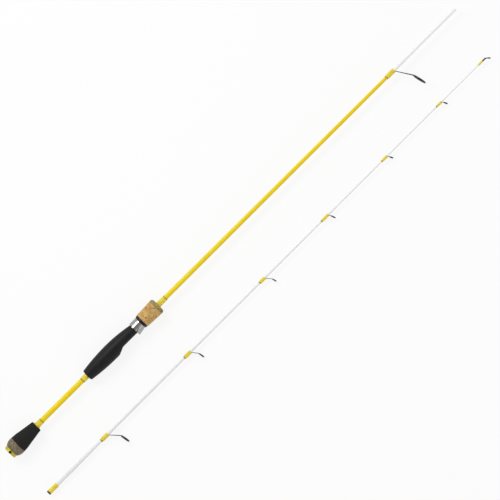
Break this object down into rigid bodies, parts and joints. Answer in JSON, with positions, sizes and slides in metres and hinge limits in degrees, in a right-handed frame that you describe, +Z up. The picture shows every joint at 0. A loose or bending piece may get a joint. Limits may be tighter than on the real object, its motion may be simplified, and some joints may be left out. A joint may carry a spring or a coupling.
{
  "type": "two-piece spinning fishing rod",
  "caption": "Two-piece spinning rod with its sections laid side by side: split grip, screw-locking reel seat, ferrule joint and ringed line guides.",
  "frame": {"origin": "centre of the flat face of the butt cap, at the rear end of the butt section", "axes": "+X runs forward along the butt section towards its ferrule, -Y is the side that the line guides, the reel and the tip section are on, +Z up from the surface that the rod lies on"},
  "size_m": [0.933, 0.1273, 0.028],
  "materials": {
    "yellow_metal": "gloss",
    "black_rubber": "matt",
    "composite_cork": "matt",
    "tan_cork": "matt",
    "dark_cork": "matt",
    "foam": "matt",
    "seat_black": "soft-touch",
    "arbor": "plain",
    "hood_metal": "bright",
    "hood_liner": "plain",
    "nut_black": "satin",
    "yellow_blank": "gloss lacquer, white at the front",
    "white_blank": "gloss lacquer",
    "gold_thread": "thread under clear finish",
    "dark_thread": "thread under clear finish",
    "dark_metal": "dark satin",
    "guide_metal": "satin",
    "ring_ceramic": "polished"
  },
  "bodies": {
    "butt_section": {"butt_blank": "yellow_blank", "butt_cap": "yellow_metal", "butt_cap_inlay": "black_rubber", "butt_cork": "composite_cork", "fore_trim": "dark_thread", "fore_wrap": "gold_thread", "rear_check": "yellow_metal", "rear_grip": "foam", "rear_trim": "dark_thread", "rear_wrap": "gold_thread", "reel_seat": "seat_black", "seat_arbor_1": "arbor", "seat_arbor_2": "arbor", "seat_arbor_3": "arbor", "seat_trim": "dark_thread", "seat_wrap": "gold_thread", "stripper_frame": "dark_metal", "stripper_ring": "ring_ceramic", "stripper_trim": "dark_thread", "stripper_wrap": "gold_thread"},
    "moving_hood": {"sliding_hood": "hood_metal", "hood_cushion": "hood_liner"},
    "nut_and_foregrip": {"lock_nut": "nut_black", "foregrip_cork": "tan_cork", "foregrip_end": "dark_cork"},
    "tip_section": {"ferrule_band": "dark_thread", "ferrule_wrap": "gold_thread", "guide_2_frame": "guide_metal", "guide_2_ring": "ring_ceramic", "guide_2_trim": "dark_thread", "guide_2_wrap": "gold_thread", "guide_3_frame": "guide_metal", "guide_3_ring": "ring_ceramic", "guide_3_trim": "dark_thread", "guide_3_wrap": "gold_thread", "guide_4_frame": "guide_metal", "guide_4_ring": "ring_ceramic", "guide_4_trim": "dark_thread", "guide_4_wrap": "gold_thread", "guide_5_frame": "guide_metal", "guide_5_ring": "ring_ceramic", "guide_5_trim": "dark_thread", "guide_5_wrap": "gold_thread", "guide_6_frame": "guide_metal", "guide_6_ring": "ring_ceramic", "guide_6_trim": "dark_thread", "guide_6_wrap": "gold_thread", "guide_7_frame": "guide_metal", "guide_7_ring": "ring_ceramic", "guide_7_trim": "dark_thread", "guide_7_wrap": "gold_thread", "tip_blank": "white_blank", "tip_top_frame": "dark_metal", "tip_top_ring": "ring_ceramic", "tip_top_wrap": "gold_thread"}
  },
  "joints": [
    {"name": "hood_slide", "type": "slide", "parent": "butt_section", "child": "moving_hood", "axis": [1, 0, 0], "range_m": [0, 0.014]},
    {"name": "nut_spin", "type": "hinge", "parent": "moving_hood", "child": "nut_and_foregrip", "pos_m": [0.28, 0, 0], "axis": [1, 0, 0], "range_deg": [0, 2520]},
    {"name": "tip_slide", "type": "slide", "parent": "butt_section", "child": "tip_section", "axis": [1, 0, 0], "range_m": [0, 0.883]}
  ],
  "couplings": [
    {"joint": "hood_slide", "follows": "nut_spin", "m_per_rad": 0.00031831}
  ]
}
